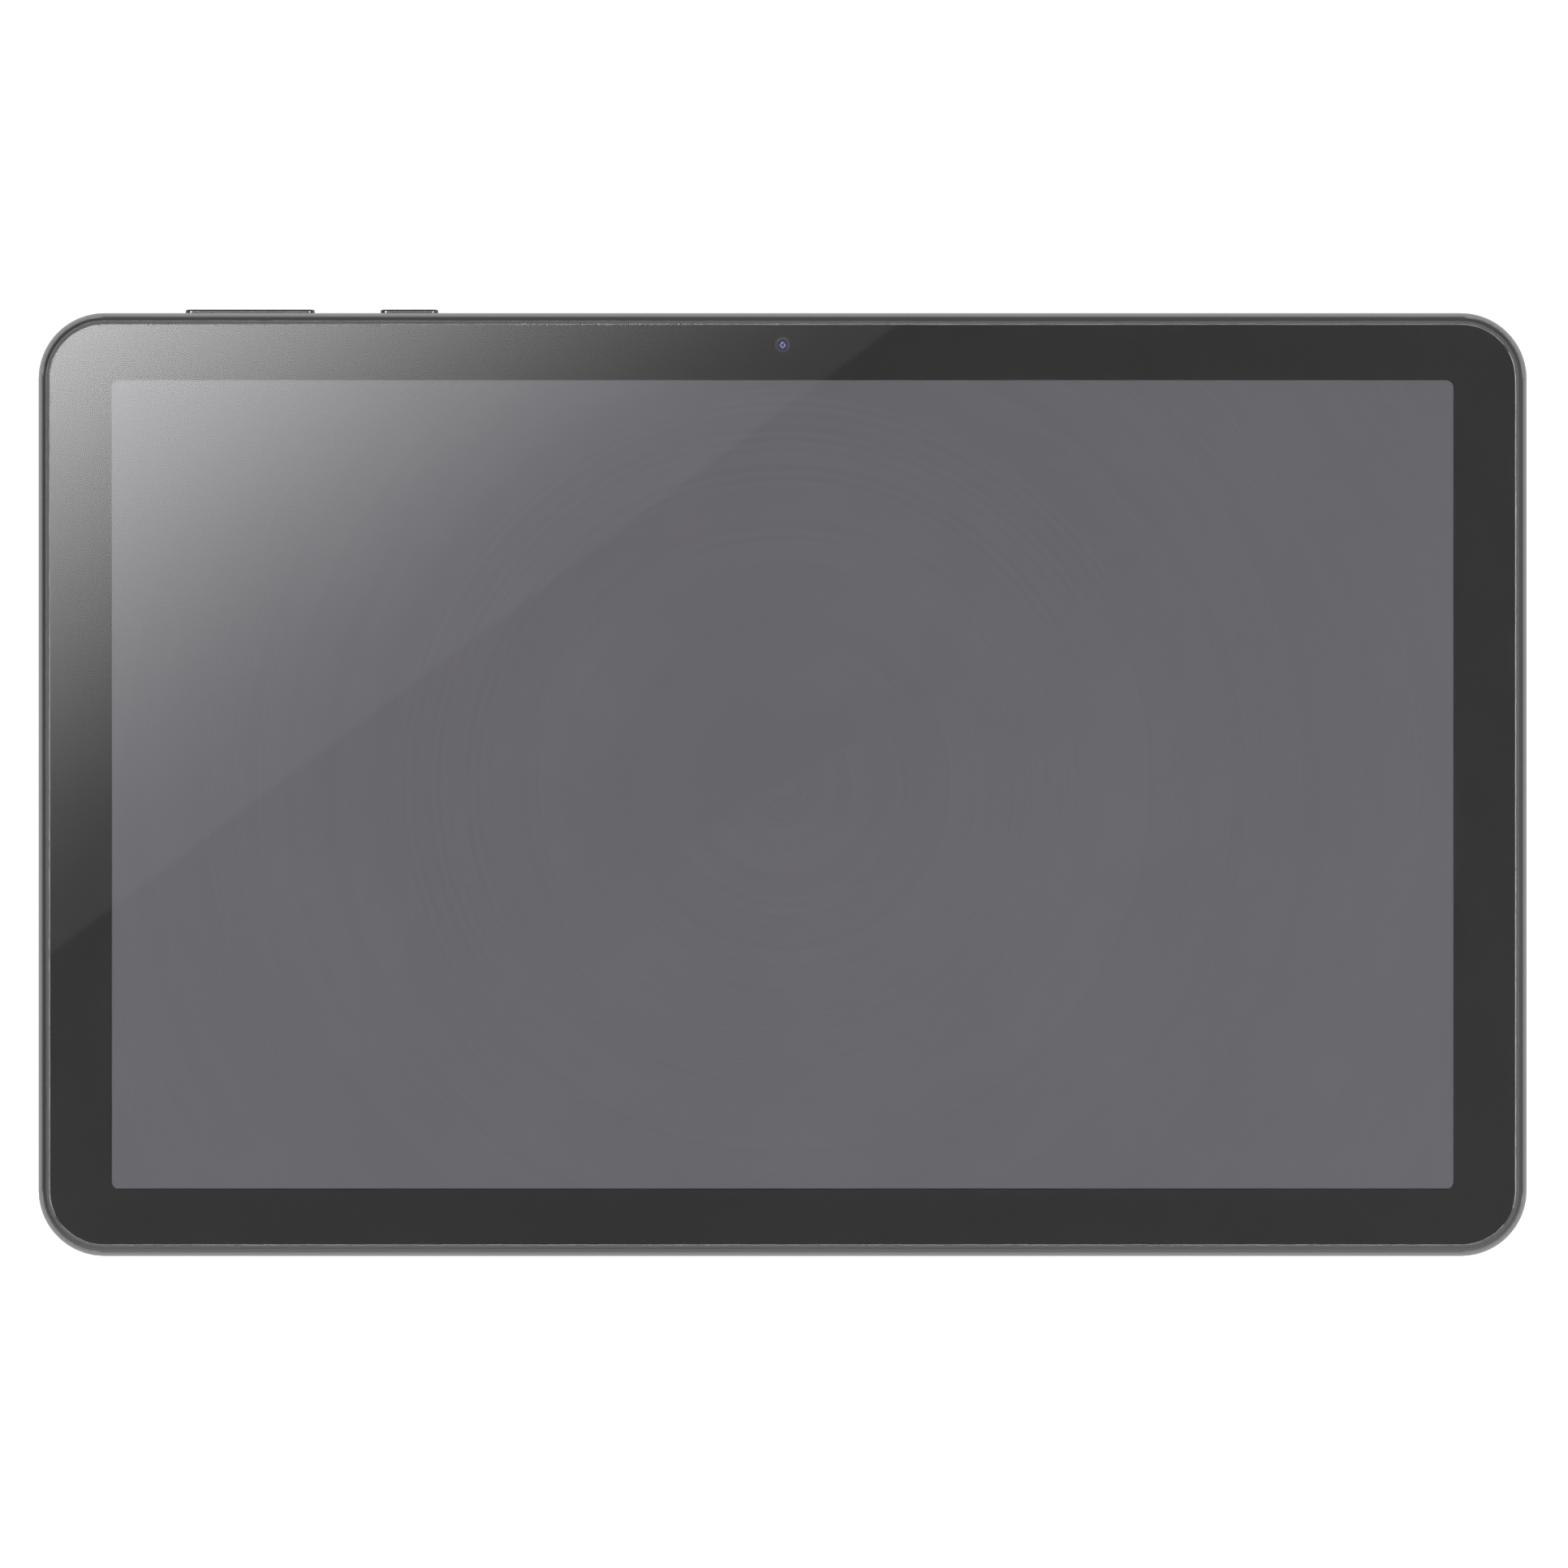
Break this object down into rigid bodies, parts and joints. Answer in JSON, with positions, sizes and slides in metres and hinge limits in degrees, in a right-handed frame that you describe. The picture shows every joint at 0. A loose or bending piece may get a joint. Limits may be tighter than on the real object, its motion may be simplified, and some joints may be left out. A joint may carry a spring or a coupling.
{
  "type": "tablet computer",
  "caption": "Slim slate tablet with a rounded metal case, black-bordered glass front, edge keys, charging socket, card tray, speakers and cameras.",
  "frame": {"origin": "centre of the case's outline, on the outside of its flat back", "axes": "+Z out of the display, +X to the right along the long side seen from the front, +Y to the long edge with the front camera and the keys"},
  "size_m": [0.2504, 0.1593, 0.0076],
  "materials": {
    "case_aluminium": "bead-blasted and anodised graphite grey",
    "key_aluminium": "anodised graphite grey, satin",
    "window_plastic": "painted to match the case, fine texture",
    "frame_plastic": "moulded, satin grey rim",
    "cover_glass": "polished, strengthened",
    "border_ink": "printed black on the glass",
    "polariser_film": "smooth dark grey-violet film, display off",
    "panel_glass": "thin display glass",
    "optical_gel": "clear adhesive",
    "guide_acrylic": "clear moulded acrylic with a dot pattern",
    "sheet_film": "white and milky optical film",
    "stainless_sheet": "pressed stainless sheet",
    "plate_alloy": "stamped and milled alloy plate",
    "shield_tin": "tinned shield sheet",
    "screw_steel": "blackened steel screw",
    "tape_black": "black foam adhesive",
    "graphite": "laminated graphite sheet",
    "led_board": "white board with yellow diodes",
    "flat_cable": "amber polyimide over copper",
    "circuit_board": "dark green solder mask",
    "chip_epoxy": "black moulded epoxy",
    "socket_plastic": "dark moulded nylon",
    "contact_gold": "gold-plated contact",
    "copper_film": "plated copper film",
    "carrier_plastic": "black moulded plastic",
    "seal_rubber": "soft black silicone",
    "thermal_silicone": "grey-blue thermal pad",
    "battery_pouch": "laminated foil pouch in a dark wrap",
    "cable_jacket": "grey coax jacket",
    "mesh_steel": "black woven acoustic mesh",
    "cone_film": "pressed diaphragm",
    "camera_body": "black camera module",
    "lens_glass": "coated lens",
    "lens_cover_glass": "dark polished cover",
    "ring_aluminium": "turned and anodised ring"
  },
  "bodies": {
    "tablet": {"rear_case": "case_aluminium", "antenna_window": "window_plastic", "graphite_sheet": "graphite", "bezel_frame": "frame_plastic", "midplate": "plate_alloy", "adhesive_tapes": "tape_black", "backlight_tray": "stainless_sheet", "backlight_sheets": "sheet_film", "light_guide": "guide_acrylic", "led_strip": "led_board", "tft_glass": "panel_glass", "filter_glass": "panel_glass", "front_polariser": "polariser_film", "optical_adhesive": "optical_gel", "display_flex": "flat_cable", "border_print": "border_ink", "cover_glass": "cover_glass", "side_switches": "socket_plastic", "key_flex": "flat_cable", "key_bracket": "stainless_sheet", "usb_shell": "stainless_sheet", "usb_tongue": "carrier_plastic", "usb_contacts": "contact_gold", "usb_gasket": "seal_rubber", "usb_board": "circuit_board", "lever_pin": "stainless_sheet", "card_socket_base": "socket_plastic", "card_socket_shell": "stainless_sheet", "card_contacts": "contact_gold", "main_board": "circuit_board", "shield_cans": "shield_tin", "circuit_chips": "chip_epoxy", "thermal_pad": "thermal_silicone", "board_connectors": "socket_plastic", "board_screws": "screw_steel", "link_flex": "flat_cable", "battery_flex": "flat_cable", "battery_board": "circuit_board", "battery_cells": "battery_pouch", "camera_flex": "flat_cable", "mic_flex": "flat_cable", "aerial_cables": "cable_jacket", "aerial_carriers": "carrier_plastic", "aerial_films": "copper_film", "speaker_boxes": "carrier_plastic", "speaker_cones": "cone_film", "speaker_meshes": "mesh_steel", "mic_boot": "seal_rubber", "microphone": "shield_tin", "front_camera": "camera_body", "rear_camera": "camera_body", "camera_lenses": "lens_glass", "rear_camera_ring": "ring_aluminium", "rear_lens_cover": "lens_cover_glass"},
    "volume_rocker": {"volume_key": "key_aluminium"},
    "power_button": {"power_key": "key_aluminium"},
    "card_drawer": {"card_tray": "stainless_sheet", "tray_door": "key_aluminium"},
    "ejector_rod": {"eject_rod": "stainless_sheet"},
    "ejector_lever": {"eject_lever": "stainless_sheet"}
  },
  "joints": [
    {"name": "volume_rock", "type": "hinge", "parent": "tablet", "child": "volume_rocker", "pos_m": [-0.0896, 0.077, 0.00386], "axis": [0, 0, 1], "range_deg": [-1.2, 1.2], "stiffness_Nm_per_rad": 0.3},
    {"name": "power_press", "type": "slide", "parent": "tablet", "child": "power_button", "axis": [0, -1, 0], "range_m": [0, 0.0003], "stiffness_N_per_m": 800},
    {"name": "tray_slide", "type": "slide", "parent": "tablet", "child": "card_drawer", "axis": [-1, 0, 0], "range_m": [0, 0.024]},
    {"name": "eject_press", "type": "slide", "parent": "tablet", "child": "ejector_rod", "axis": [1, 0, 0], "range_m": [0, 0.0012], "stiffness_N_per_m": 200},
    {"name": "eject_turn", "type": "hinge", "parent": "tablet", "child": "ejector_lever", "pos_m": [-0.1004, 0.0029, 0.0036], "axis": [0, 0, 1], "range_deg": [-17.5, 0]}
  ],
  "couplings": [
    {"joint": "eject_turn", "follows": "eject_press", "rad_per_m": -250}
  ]
}
